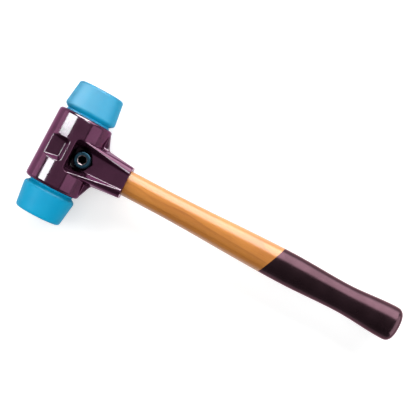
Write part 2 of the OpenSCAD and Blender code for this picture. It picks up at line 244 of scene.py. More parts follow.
class Value:
    """A node's output that formulas use like a number: each operation adds a Math node."""

    def __init__(self, socket):
        self.socket = socket
        self.tree = socket.id_data

    def __add__(self, other):
        return calc("ADD", self, other)

    def __sub__(self, other):
        return calc("SUBTRACT", self, other)

    def __rsub__(self, other):
        return calc("SUBTRACT", other, self)

    def __mul__(self, other):
        return calc("MULTIPLY", self, other)

    def __truediv__(self, other):
        return calc("DIVIDE", self, other)

    def __rtruediv__(self, other):
        return calc("DIVIDE", other, self)

    def __pow__(self, other):
        return calc("POWER", self, other)

    def __abs__(self):
        return calc("ABSOLUTE", self)


def fill(node, inputs):
    """Fills a node's inputs, by name or number, with constants or with other nodes' outputs."""
    for key, value in inputs.items():
        if isinstance(value, Value):
            value.tree.links.new(value.socket, node.inputs[key])
        else:
            node.inputs[key].default_value = value


def put(tree, kind, inputs=None, out=0, **fields):
    """Adds a node, sets its fields, fills its inputs and returns one of its outputs."""
    node = tree.nodes.new(kind)
    for field, value in fields.items():
        setattr(node, field, value)
    fill(node, inputs or {})
    return Value(node.outputs[out])


def calc(operation, *values):
    """A Math node's output, from numbers and at least one other node's output."""
    tree = next(value.tree for value in values if isinstance(value, Value))
    return put(tree, "ShaderNodeMath", dict(enumerate(values)), operation=operation)


def ramp(value, low, high, to_low=0.0, to_high=1.0, smooth="SMOOTHSTEP"):
    """A Map Range node's output."""
    inputs = dict(enumerate((value, low, high, to_low, to_high)))
    return put(value.tree, "ShaderNodeMapRange", inputs, interpolation_type=smooth)


def axes_of(place):
    """The three coordinates of a place."""
    node = place.tree.nodes.new("ShaderNodeSeparateXYZ")
    fill(node, {0: place})
    return [Value(socket) for socket in node.outputs]


def radius_from(across, along):
    """Distance from an axis, from the two distances square to it."""
    return calc("SQRT", across * across + along * along)


def blend(factor, first, second):
    """A Mix node's colour output."""
    first, second = (tone if isinstance(tone, Value) else (*tone, 1) for tone in (first, second))
    return put(factor.tree, "ShaderNodeMix", {0: factor, 6: first, 7: second}, out=2, data_type="RGBA")


def darker(tone, factor):
    """A colour times a factor."""
    return tuple(factor * channel for channel in tone)


def noise(place, scale, detail=3.0, roughness=0.5):
    """A Noise node's value. The scale is one number, or one for each axis."""
    if isinstance(scale, tuple):
        place = put(place.tree, "ShaderNodeVectorMath", {0: place, 1: scale}, operation="MULTIPLY")
        scale = 1.0
    inputs = {"Vector": place, "Scale": scale, "Detail": detail, "Roughness": roughness}
    return put(place.tree, "ShaderNodeTexNoise", inputs, out="Fac")


def between(pattern, low, high):
    """A noise's usual range, spread over the range between two values."""
    return ramp(pattern, 0.2, 0.8, low, high)


def bump(*layers):
    """The normal of layers of bump, each a height, a strength and a distance."""
    below = {}
    for height, strength, distance in layers:
        inputs = {"Height": height, "Strength": strength, "Distance": distance, **below}
        below = {"Normal": put(height.tree, "ShaderNodeBump", inputs)}
    return below["Normal"]


def finish(name):
    """A new material with its shader and Object coordinates."""
    material = bpy.data.materials.new(name)
    material.use_nodes = True
    tree = material.node_tree
    return material, tree.nodes["Principled BSDF"], put(tree, "ShaderNodeTexCoord", out="Object")


# Finishes

def painted_shade_mask(place, settings):
    """Where shade is painted: in the screw's seat, on the wall behind it and a little in the side recess, all
    places where shade falls.
    """
    x, y, z = axes_of(place)
    ahead, over = x - SCREW_X, z - HEAD.z
    height = abs(over) - settings.floor_z
    near = ramp(radius_from(ahead, y), settings.painted_shade_r, settings.painted_shade_r - 1.6 * MM)
    on_wall = ramp(ahead, 4 * MM, -1 * MM) * ramp(height, settings.painted_shade_h, settings.painted_shade_h - 3 * MM)
    in_seat = ramp(height, -0.1 * MM, -0.6 * MM)
    depth = radius_from(x - HEAD.x, over)
    sunk = ramp(depth, settings.barrel_r - 0.3 * MM, settings.barrel_r - 1.2 * MM)
    in_recess = ramp(x, HEAD.x - 2 * MM, HEAD.x - 3 * MM) * sunk * settings.recess_shade
    return calc("MAXIMUM", near * calc("MAXIMUM", on_wall, in_seat), in_recess)


def enamel_finish(settings):
    """Glossy enamel over a casting: pooling of the colour, a faint orange peel, and painted shade round the
    screw's seat and in the side recess.
    """
    material, shader, place = finish("aubergine_enamel")
    pooling = ramp(noise(place, scale=95, detail=4), 0.35, 0.7)
    paint = blend(pooling, settings.enamel, settings.enamel_deep)
    # Painted shade: the mask blends the enamel towards near black, and a little rougher, where shade falls
    # round the screw and in the recess.
    painted_shade = painted_shade_mask(place, settings)
    peel = noise(place, scale=420, detail=2)
    skin = noise(place, scale=1500)
    gloss = between(skin, settings.gloss - 0.04, settings.gloss + 0.06)
    fill(shader, {
        "Base Color": blend(painted_shade, paint, settings.painted_shade),
        "Roughness": gloss + painted_shade * 0.06,
        "Normal": bump((peel, 0.12, 0.2 * MM), (skin, 0.05, 0.05 * MM)),
        "Metallic": 0.7, "Specular IOR Level": 0.1, "Specular Tint": (*settings.enamel_edge, 1),
        "Coat Weight": 0.1, "Coat Roughness": 0.05})
    return material


def soft_face_finish(settings):
    """Satin blue elastomer: faint mottling and a moulded grain."""
    material, shader, place = finish("blue_elastomer")
    mottle = ramp(noise(place, scale=70, detail=4), 0.3, 0.75)
    pores = noise(place, scale=2600, detail=2)
    waves = noise(place, scale=260, detail=2)
    fill(shader, {
        "Base Color": blend(mottle, settings.blue, settings.blue_light),
        "Roughness": between(pores, 0.44, 0.54),
        "Normal": bump((waves, 0.10, 0.2 * MM), (pores, 0.10, 0.04 * MM)),
        "Specular IOR Level": 0.12})
    return material


def steel_finish(settings):
    """Dark bluish passivated steel: fine turned lines and uneven passivation."""
    material, shader, place = finish("blued_steel")
    cloud = ramp(noise(place, scale=420, detail=4), 0.3, 0.7)
    lines = noise(place, scale=(900, 900, 9000), detail=2)
    fill(shader, {
        "Base Color": blend(cloud, settings.steel, darker(settings.steel, 0.55)),
        "Roughness": between(lines, 0.2, 0.3),
        "Normal": bump((lines, 0.15, 0.03 * MM)),
        "Metallic": 0.9, "Specular IOR Level": 0.3})
    return material


def grainy_finish(name, light, dark, scale, roughness, relief, metallic=0.0, specular=0.5):
    """Two tones and two levels of roughness that follow one fine grain."""
    material, shader, place = finish(name)
    grains = noise(place, scale)
    fill(shader, {
        "Base Color": blend(grains, light, dark),
        "Roughness": between(grains, *roughness),
        "Normal": bump((grains, *relief)),
        "Metallic": metallic, "Specular IOR Level": specular})
    return material


def shaded_socket_finish(settings):
    """Near-black inside of the hexagon socket, with no specular reflection: painted shade in the deep socket.
    """
    light, dark = darker(settings.steel, 0.01), darker(settings.steel, 0.02)
    return grainy_finish("shaded_socket", light, dark, scale=1400,
                         roughness=(0.5, 0.7), relief=(0.1, 0.05 * MM), specular=0.0)


def worn_and_glint_finish(settings):
    """Steel that the key has rubbed bare, in a pale pinkish tone that partly paints the highlight on the
    socket's chamfer.
    """
    return grainy_finish("worn_glinting_steel", settings.worn_and_glint, darker(settings.worn_and_glint, 0.7), scale=1800,
                         roughness=(0.22, 0.36), relief=(0.15, 0.03 * MM), metallic=1.0)


def nylon_finish(settings):
    """White nylon with a faint moulded grain."""
    return grainy_finish("white_nylon", settings.nylon, darker(settings.nylon, 0.85), scale=2200,
                         roughness=(0.4, 0.55), relief=(0.1, 0.05 * MM))


def wood_fibres(place):
    """Fine fibres along the handle."""
    return noise(place, scale=(45, 1900, 1900), roughness=0.6)


def wood_finish(settings):
    """Clear-varnished honey wood with rings, fibres, pores and a slow change of tone."""
    material, shader, place = finish("varnished_wood")
    pith_y, pith_z, sway, rings_per_metre = -21 * MM, -12 * MM, 10 * MM, 330
    _, y, z = axes_of(place)
    swayed = y + (noise(place, scale=(14, 60, 60), detail=2) - 0.5) * sway
    rings = calc("FRACT", radius_from(swayed - pith_y, z - pith_z) * rings_per_metre)
    fibres = wood_fibres(place)
    pores = ramp(noise(place, scale=(160, 3600, 3600), detail=1), 0.60, 0.74)
    cloud = noise(place, scale=(18, 70, 70), detail=2) - 0.5
    tone = rings ** 3 * 0.30 + fibres * 0.42 + pores * 0.22 + cloud * 0.7
    fill(shader, {
        "Base Color": blend(ramp(tone, 0.05, 0.85, smooth="LINEAR"), settings.wood_light, settings.wood_dark),
        "Roughness": between(fibres, 0.26, 0.38),
        "Normal": bump((fibres - pores * 0.8, 0.22, 0.06 * MM)),
        "Specular IOR Level": 0.3, "Coat Weight": 0.6, "Coat Roughness": 0.12})
    return material


def lacquer_finish(settings):
    """Aubergine lacquer on the butt, with the wood's fibres just showing through."""
    material, shader, place = finish("aubergine_lacquer")
    pooling = ramp(noise(place, scale=60), 0.3, 0.7)
    fibres = wood_fibres(place)
    peel = noise(place, scale=300, detail=2)
    fill(shader, {
        "Base Color": blend(pooling, settings.lacquer, darker(settings.lacquer, 0.7)),
        "Roughness": between(fibres, 0.17, 0.25),
        "Normal": bump((fibres, 0.06, 0.06 * MM), (peel, 0.06, 0.2 * MM)),
        "Metallic": 0.7, "Specular IOR Level": 0.3, "Specular Tint": (*settings.lacquer_edge, 1)})
    return material


# Geometry Nodes trees

def geometry_tree(name, **inputs):
    """A tree and its named inputs, which are given as lists of labels for each kind of socket."""
    tree = bpy.data.node_groups.new(name, "GeometryNodeTree")
    for kind, labels in {"Geometry": ["Geometry"], **inputs, "Material": ["Material"]}.items():
        for label in labels:
            tree.interface.new_socket(label, in_out="INPUT", socket_type="NodeSocket" + kind)
    tree.interface.new_socket("Geometry", in_out="OUTPUT", socket_type="NodeSocketGeometry")
    return tree, {socket.name: Value(socket) for socket in tree.nodes.new("NodeGroupInput").outputs}


def close_tree(grid, axes, material):
    """Moves the grid's points, closes its seam and poles, and ends in Realize Instances and Set Material."""
    tree = grid.tree
    places = put(tree, "ShaderNodeCombineXYZ", dict(enumerate(axes)))
    moved = put(tree, "GeometryNodeSetPosition", {"Geometry": grid, "Position": places})
    merged = put(tree, "GeometryNodeMergeByDistance", {"Geometry": moved, "Distance": 0.002 * MM})
    smooth = put(tree, "GeometryNodeSetShadeSmooth", {"Geometry": merged})
    real = put(tree, "GeometryNodeRealizeInstances", {"Geometry": smooth})
    dressed = put(tree, "GeometryNodeSetMaterial", {"Geometry": real, "Material": material})
    fill(tree.nodes.new("NodeGroupOutput"), {"Geometry": dressed})
    return tree


def grid_rows(rows, segments):
    """A grid of points, with the row and the turn of each point."""
    across = segments + 1
    grid = put(rows.tree, "GeometryNodeMeshGrid", {"Vertices X": rows, "Vertices Y": across})
    index = put(rows.tree, "GeometryNodeInputIndex")
    row = calc("FLOOR", (index + 0.25) / across)
    turn = (index - row * across) * (math.tau / segments)
    return grid, row, turn


def turned_tree():
    """Turns a profile about Z. Marks on its points make a stretch hexagonal, threaded or knurled."""
    tree, given = geometry_tree("turned_piece", Int=["Segments", "Knurls"],
                                Float=["Thread pitch", "Thread depth", "Knurl depth"])
    profile = given["Geometry"]
    points = put(tree, "GeometryNodeAttributeDomainSize", {"Geometry": profile}, out="Point Count")
    grid, row, turn = grid_rows(points, given["Segments"])

    def sampled(value, kind):
        return put(tree, "GeometryNodeSampleIndex", {"Geometry": profile, "Value": value, "Index": row},
                   data_type=kind)

    def mark(name):
        named = put(tree, "GeometryNodeInputNamedAttribute", {"Name": name}, data_type="FLOAT")
        return sampled(named, "FLOAT")

    radius, _, height = axes_of(sampled(put(tree, "GeometryNodeInputPosition"), "FLOAT_VECTOR"))
    sixth = math.tau / 6
    lean = calc("FLOORED_MODULO", turn, sixth) - sixth / 2
    flat = calc("MINIMUM", radius / calc("COSINE", lean), mark("limit"))
    six = mark("six")
    wound = height / given["Thread pitch"] - turn / math.tau
    flank = abs(calc("FRACT", wound) - 0.5)
    cut = ramp(flank, 0.06, 0.42, smooth="LINEAR") * given["Thread depth"] * mark("thread")
    hollow = 0.5 - calc("COSINE", turn * given["Knurls"]) * 0.5
    dent = hollow * given["Knurl depth"] * mark("knurl")
    radius = radius * (1 - six) + flat * six - cut - dent
    x, y = (radius * calc(wave, turn) for wave in ("COSINE", "SINE"))
    return close_tree(grid, (x, y, height), given["Material"])


def oval_tree():
    """Lofts the handle's oval along X through its stations, from a flat shoulder to a domed end."""
    sizes = [station + size for size in ("", " width", " thickness") for station in STATIONS]
    tree, given = geometry_tree("oval_handle", Int=["Rows", "Dome rows", "Segments"],
                                Float=["Start", "End", *sizes, "Dome fullness", "Oval fullness"])
    rows, butt, fullness = given["Rows"], given["Butt"], given["Dome fullness"]
    grid, row, turn = grid_rows(rows + given["Dome rows"] + 2, given["Segments"])
    step = row - 1
    bow = calc("SINE", ramp(step - rows, 0.0, given["Dome rows"], 0.0, math.pi / 2, smooth="LINEAR"))
    x = ramp(step, 0.0, rows, given["Start"], butt, smooth="LINEAR") + bow * (given["End"] - butt)
    dome = calc("MAXIMUM", 1 - bow ** fullness, 0.0) ** (1 / fullness)
    shown = dome * calc("GREATER_THAN", row, 0.5)
    power = 2 / given["Oval fullness"]

    def half(kind, wave):
        size = given["Neck " + kind]
        for before, after in zip(STATIONS, STATIONS[1:]):
            gain = given[f"{after} {kind}"] - given[f"{before} {kind}"]
            size = size + ramp(x, given[before], given[after], 0.0, gain)
        side = calc(wave, turn)
        return calc("SIGN", side) * abs(side) ** power * (size * 0.5) * shown

    return close_tree(grid, (x, half("width", "COSINE"), half("thickness", "SINE")), given["Material"])


# Mesh helpers

def new_object(name, data):
    """Adds an object to the scene, with its mesh, lamp or camera."""
    item = bpy.data.objects.new(name, data)
    bpy.context.scene.collection.objects.link(item)
    return item


@contextmanager
def edited(mesh):
    """A bmesh of the mesh, written back at the end."""
    work = bmesh.new()
    work.from_mesh(mesh)
    yield work
    work.to_mesh(mesh)
    work.free()


def plain_mesh(piece):
    """Turns the piece's modifiers into a plain mesh and removes them."""
    bpy.context.view_layer.update()
    graph = bpy.context.evaluated_depsgraph_get()
    shaped = piece.evaluated_get(graph)
    mesh = bpy.data.meshes.new_from_object(shaped, preserve_all_data_layers=True, depsgraph=graph)
    old = piece.data
    piece.modifiers.clear()
    piece.data = mesh
    bpy.data.meshes.remove(old)
    mesh.name = piece.name


def grow(piece, tree, values):
    """Runs a Geometry Nodes tree on a piece, with its inputs set by their labels."""
    modifier = piece.modifiers.new(tree.name, "NODES")
    modifier.node_group = tree
    sockets = {s.name: s.identifier for s in tree.interface.items_tree if s.in_out == "INPUT"}
    for label, value in values.items():
        modifier[sockets[label]] = value
    plain_mesh(piece)


def give_finishes(piece, finishes, pick):
    """Gives a piece several finishes: pick gets a face's centre and returns the number of its finish."""
    mesh = piece.data
    mesh.materials.clear()
    for item in finishes:
        mesh.materials.append(item)
    mesh.polygons.foreach_set("material_index", [pick(face.center) for face in mesh.polygons])


def settle(piece, body, nodes, slot, sharp=None):
    """Points the faces outwards, marks edges sharper than an angle, and hands the piece to the frame."""
    with edited(piece.data) as work:
        bmesh.ops.recalc_face_normals(work, faces=work.faces)
        if work.calc_volume(signed=True) < 0:
            bmesh.ops.reverse_faces(work, faces=work.faces)
        open_edges = sum(not edge.is_manifold for edge in work.edges)
    if open_edges:
        raise RuntimeError(f"{piece.name} isn't closed: {open_edges} open edges")
    piece.data.shade_smooth()
    if sharp is not None:
        piece.data.set_sharp_from_angle(angle=math.radians(sharp))
    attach(piece, body)
    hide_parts(*nodes)


def corner(a, b, c, radius, steps):
    """Points of the rounding at corner b of the line a, b, c."""
    a, b, c = Vector(a), Vector(b), Vector(c)
    u, v = (a - b).normalized(), (c - b).normalized()
    half = u.angle(v) / 2
    centre = b + (u + v).normalized() * radius / math.sin(half)
    first, last = (b + side * radius / math.tan(half) - centre for side in (u, v))
    sweep = first.angle_signed(last)
    return [tuple(centre + Matrix.Rotation(-sweep * i / steps, 2) @ first) for i in range(steps + 1)]


def profile_piece(name, points):
    """A chain of points (radius, height, marks) for the turned tree to turn about Z."""
    mesh = bpy.data.meshes.new(name)
    mesh.from_pydata([(p[0], 0, p[1]) for p in points], [(i, i + 1) for i in range(len(points) - 1)], [])
    for mark, fallback in (("six", 0.0), ("limit", 1.0), ("thread", 0.0), ("knurl", 0.0)):
        values = [p[2].get(mark, fallback) if len(p) > 2 else fallback for p in points]
        mesh.attributes.new(mark, "FLOAT", "POINT").data.foreach_set("value", values)
    return new_object(name, mesh)


def span(low, high, steps):
    """Even steps from one value to another."""
    return [low + (high - low) * i / steps for i in range(steps + 1)]


def hexagon_point(across_flats):
    """Distance from a hexagon's centre to its points."""
    return across_flats / 2 / math.cos(math.pi / 6)


# Operators, one for each piece or group of like pieces

class HAMMER_OT_housing(bpy.types.Operator):
    """Build the two enamelled halves of the head, with the rounded edges of a casting"""
    bl_idname = "hammer.housing"
    bl_label = "Housing Halves"

    def execute(self, context):
        s = context.scene.hammer_housing
        enamel = enamel_finish(s)
        for name, node, body in (("front_casting", "front_housing_half", "front_half"),
                                 ("rear_casting", "rear_housing_half", "head_and_handle")):
            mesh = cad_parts[node].data.copy()
            with edited(mesh) as work:
                bmesh.ops.remove_doubles(work, verts=work.verts, dist=0.001 * MM)
            mesh.materials.clear()
            mesh.materials.append(enamel)
            piece = new_object(name, mesh)
            remesh = piece.modifiers.new("cells", "REMESH")
            remesh.mode = "VOXEL"
            remesh.voxel_size = s.cell
            rounding = piece.modifiers.new("rounding", "SMOOTH")
            rounding.factor = s.smoothing
            rounding.iterations = s.passes
            plain_mesh(piece)
            settle(piece, body, [node], "enamel")
        return {"FINISHED"}


class HAMMER_OT_faces(bpy.types.Operator):
    """Build the two soft faces, turned from one profile"""
    bl_idname = "hammer.faces"
    bl_label = "Soft Faces"

    def profile(self, s):
        """Half section of a face, from the end of its shank to the middle of its striking end."""
        neck = (s.shank_r, s.neck_h)
        groove = (s.shank_r - s.groove_depth, s.neck_h - s.groove_w / 2)
        widest = (s.widest_r, s.neck_h + s.flare_h)
        strike, centre = (s.strike_r, s.height), (0, s.height)
        flare = corner(neck, widest, strike, s.flare_round, 14)
        edge = corner(widest, strike, centre, s.strike_round, 14)
        shank = [(0, -s.shank_l), (s.shank_r / 2, -s.shank_l), (s.shank_r - s.shank_chamfer, -s.shank_l),
                 (s.shank_r, s.shank_chamfer - s.shank_l)]
        shank += [(s.shank_r, h) for h in span(s.shank_chamfer - s.shank_l, s.neck_h - s.groove_w, 6)[1:]]
        side = [tuple(Vector(flare[-1]).lerp(Vector(edge[0]), t)) for t in span(0, 1, 12)[1:-1]]
        top = [(edge[-1][0] * t, s.height) for t in span(1, 0, 8)[1:]]
        return shank + [groove, neck] + flare + side + edge + top

    def execute(self, context):
        s = context.scene.hammer_faces
        elastomer = soft_face_finish(s)
        tree = turned_tree()
        for name, node, side in (("upper_soft_face", "upper_face", 1), ("lower_soft_face", "lower_face", -1)):
            piece = profile_piece(name, self.profile(s))
            grow(piece, tree, {"Segments": s.segments, "Material": elastomer})
            place = Matrix.Translation((HEAD.x, side * RIM_Y, HEAD.z))
            piece.data.transform(place @ Matrix.Rotation(-side * math.pi / 2, 4, "X"))
            settle(piece, node, [node], "soft_face", sharp=32)
        return {"FINISHED"}


class HAMMER_OT_clamp_screw(bpy.types.Operator):
    """Build the socket screw, with its knurled head and its thread"""
    bl_idname = "hammer.clamp_screw"
    bl_label = "Clamp Screw"

    def profile(self, s):
        """Half section of the screw, from the thread's end, over the head, to the bottom of the socket."""
        end, top = SCREW_LOW.z, SCREW_HIGH.z
        seat, floor = top - s.head_h, top - s.hex_depth
        flat, rim = s.hex_af / 2, hexagon_point(s.hex_af) + s.chamfer
        cut, knurl, six, rounder = {"thread": 1.0}, {"knurl": 1.0}, {"six": 1.0}, {"six": 0.4}
        runout, fillet, edge, plain, support, cone = (size * MM for size in (0.6, 0.25, 0.4, 0.5, 0.1, 0.5))
        rows_per_turn, taper, tip = 10, 0.02 * MM, s.thread_r - s.end_chamfer
        rows = round((seat - end - s.end_chamfer) / (s.pitch / rows_per_turn))
        points = [(0, end), (tip - s.thread_depth, end), (tip, end)]
        points += [(s.thread_r, h, cut) for h in span(end + s.end_chamfer, seat - runout, rows)]
        points += [(s.thread_r, seat - runout / 2), (s.thread_r + fillet, seat), (s.head_r - edge, seat),
                   (s.head_r, seat + edge)]
        points += [(s.head_r, h, knurl) for h in span(seat + plain, top - s.head_round - plain, 8)]
        points += corner((s.head_r, seat), (s.head_r, top), (0, top), s.head_round, 6)
        points += [(rim + support, top), (rim, top), (flat + taper, top - s.chamfer, six)]
        points += [(flat, h, six) for h in span(top - 1.05 * s.chamfer, floor, 6)]
        points += [(flat * 0.55, floor - 0.4 * cone, rounder), (0, floor - cone)]
        return points

    def execute(self, context):
        s = context.scene.hammer_fasteners
        piece = profile_piece("socket_screw", self.profile(s))
        grow(piece, turned_tree(), {
            "Segments": s.segments * 2, "Knurls": s.knurls, "Knurl depth": s.knurl_depth,
            "Thread pitch": s.pitch, "Thread depth": s.thread_depth})
        rim = hexagon_point(s.hex_af) + s.chamfer
        bottom = SCREW_HIGH.z - s.hex_depth - MM
        lip, mouth = SCREW_HIGH.z - s.chamfer, SCREW_HIGH.z - 0.1 * s.chamfer

        # Finish 1 is the painted shade inside the socket; finish 2 is the chamfer's worn steel, partly a
        # painted highlight.
        def pick(spot):
            if spot.xy.length > rim or not bottom <= spot.z <= mouth:
                return 0
            return 1 if spot.z < lip else 2

        give_finishes(piece, [steel_finish(s), shaded_socket_finish(s), worn_and_glint_finish(s)], pick)
        piece.data.transform(Matrix.Translation((SCREW_X, 0, 0)))
        settle(piece, "screw", ["clamp_screw"], "steel", sharp=35)
        return {"FINISHED"}


class HAMMER_OT_lock_nut(bpy.types.Operator):
    """Build the self-locking nut and the nylon ring in its collar"""
    bl_idname = "hammer.lock_nut"
    bl_label = "Lock Nut"

    def ring_size(self):
        """Lower and upper end and outer radius of the ring, from the nut's seat."""
        return NUT_HIGH.z - RING_HIGH.z, NUT_HIGH.z - RING_LOW.z, (RING_HIGH.x - RING_LOW.x) / 2

    def nut_profile(self, s):
        """Closed half section of the nut, with the bevelled points of its hexagon and the ring's groove."""
        height = NUT_HIGH.z - NUT_LOW.z
        flat, point = s.nut_af / 2, hexagon_point(s.nut_af)
        bevel = (point - flat) * math.tan(math.pi / 6)
        low, high, radius = self.ring_size()
        play, edge, lip_edge, foot = (size * MM for size in (0.05, 0.25, 0.1, 0.3))

        def side(level, t):
            return flat, level, {"six": 1.0, "limit": flat + (point - flat) * t}

        mouth = (s.bore_r + s.nut_chamfer, 0)
        nut = [mouth, (flat - foot, 0)]
        nut += [side(bevel * t, t) for t in span(0, 1, 4)]
        nut += [side(s.nut_hex_h - bevel * t, t) for t in span(1, 0, 4)]
        nut += [(s.collar_r + edge, s.nut_hex_h), (s.collar_r, s.nut_hex_h + edge)]
        nut += corner((s.collar_r, 0), (s.collar_r, height), (0, height), s.collar_round, 6)
        nut += [(s.lip_r + lip_edge, height), (s.lip_r, height - lip_edge), (s.lip_r, high + play),
                (radius + play, high + play), (radius + play, low - play), (s.bore_r, low - play),
                (s.bore_r, s.nut_chamfer), mouth]
        return nut

    def ring_profile(self, s):
        """Closed half section of the ring, with bevelled edges."""
        low, high, radius = self.ring_size()
        inner, edge = s.bore_r, 0.25 * MM
        return [(inner, low + edge), (inner + edge, low), (radius - edge, low), (radius, low + edge),
                (radius, high - edge), (radius - edge, high), (inner + edge, high), (inner, high - edge),
                (inner, low + edge)]

    def execute(self, context):
        s = context.scene.hammer_fasteners
        tree = turned_tree()
        seat = Matrix.Translation((SCREW_X, 0, NUT_HIGH.z)) @ Matrix.Rotation(math.pi, 4, "X")
        for name, points, node, slot, material in (
                ("hex_nut", self.nut_profile(s), "lock_nut", "steel", steel_finish(s)),
                ("nylon_ring", self.ring_profile(s), "nut_ring", "lock_ring", nylon_finish(s))):
            piece = profile_piece(name, points)
            grow(piece, tree, {"Segments": s.segments, "Material": material})
            piece.data.transform(seat)
            settle(piece, "head_and_handle", [node], slot, sharp=32)
        return {"FINISHED"}


class HAMMER_OT_handle(bpy.types.Operator):
    """Build the oval wooden handle, with its drilled tenon and its lacquered butt"""
    bl_idname = "hammer.handle"
    bl_label = "Handle"

    def tenon(self, s, start):
        """The round-edged tenon, as a closed bar from its end to just inside the shoulder."""
        steps, overlap = 16, 0.5 * MM
        radius, reach = s.tenon_t / 2, (s.tenon_w - s.tenon_t) / 2
        outline = [(side * reach + radius * math.cos(a), radius * math.sin(a))
                   for side in (1, -1)
                   for a in span(-side * math.pi / 2, -side * math.pi / 2 + math.pi, steps)]
        ends = (HANDLE_LOW.x, start + overlap)
        points = [(x, y, z + HEAD.z) for x in ends for y, z in outline]
        n = len(outline)
        sides = [(i, (i + 1) % n, n + (i + 1) % n, n + i) for i in range(n)]
        mesh = bpy.data.meshes.new("tenon")
        mesh.from_pydata(points, [], sides + [tuple(range(n))[::-1], tuple(range(n, 2 * n))])
        return new_object("tenon", mesh)

    def drill(self, s):
        """The drill that makes the screw's hole, longer than the tenon is thick."""
        mesh = bpy.data.meshes.new("drill")
        with edited(mesh) as work:
            bmesh.ops.create_cone(work, cap_ends=True, segments=s.segments // 2, radius1=s.hole_r,
                                  radius2=s.hole_r, depth=5 * s.tenon_t)
        mesh.transform(Matrix.Translation((SCREW_X, 0, HEAD.z)))
        return new_object("drill", mesh)

    def dip(self, s, piece):
        """Cuts the mesh along the lacquer's slanted edge and gives the butt its lacquer."""
        edge = Vector((HEAD.x + s.lacquer_x, 0, HEAD.z))
        across = Vector((1, -s.lacquer_slant, 0)).normalized()
        with edited(piece.data) as work:
            whole = [*work.verts, *work.edges, *work.faces]
            bmesh.ops.bisect_plane(work, geom=whole, plane_co=edge, plane_no=across)
        give_finishes(piece, [wood_finish(s), lacquer_finish(s)],
                      lambda spot: int((spot - edge).dot(across) > 0))

    def execute(self, context):
        s = context.scene.hammer_handle
        start = MOUTH_X + s.shoulder_gap
        values = {"Start": start, "End": HANDLE_HIGH.x, "Dome fullness": s.dome_power,
                  "Oval fullness": s.oval_power, "Rows": s.rows, "Dome rows": s.dome_rows,
                  "Segments": s.segments}
        sizes = ((s.neck_l, s.neck_w, s.neck_t), (s.swell_l, s.swell_w, s.swell_t),
                 (s.waist_l, s.waist_w, s.waist_t), (s.butt_l, s.butt_w, s.butt_t))
        x = start
        for station, (step, width, thickness) in zip(STATIONS, sizes):
            x += step
            values.update({station: x, station + " width": width, station + " thickness": thickness})
        piece = new_object("wooden_handle", bpy.data.meshes.new("wooden_handle"))
        grow(piece, oval_tree(), values)
        piece.data.transform(Matrix.Translation((0, 0, HEAD.z)))
        for operation, cutter in (("UNION", self.tenon(s, start)), ("DIFFERENCE", self.drill(s))):
            cut = piece.modifiers.new(cutter.name, "BOOLEAN")
            cut.operation, cut.object, cut.solver = operation, cutter, "EXACT"
            plain_mesh(piece)
            bpy.data.meshes.remove(cutter.data)
        self.dip(s, piece)
        settle(piece, "head_and_handle", ["handle"], "wood", sharp=40)
        return {"FINISHED"}


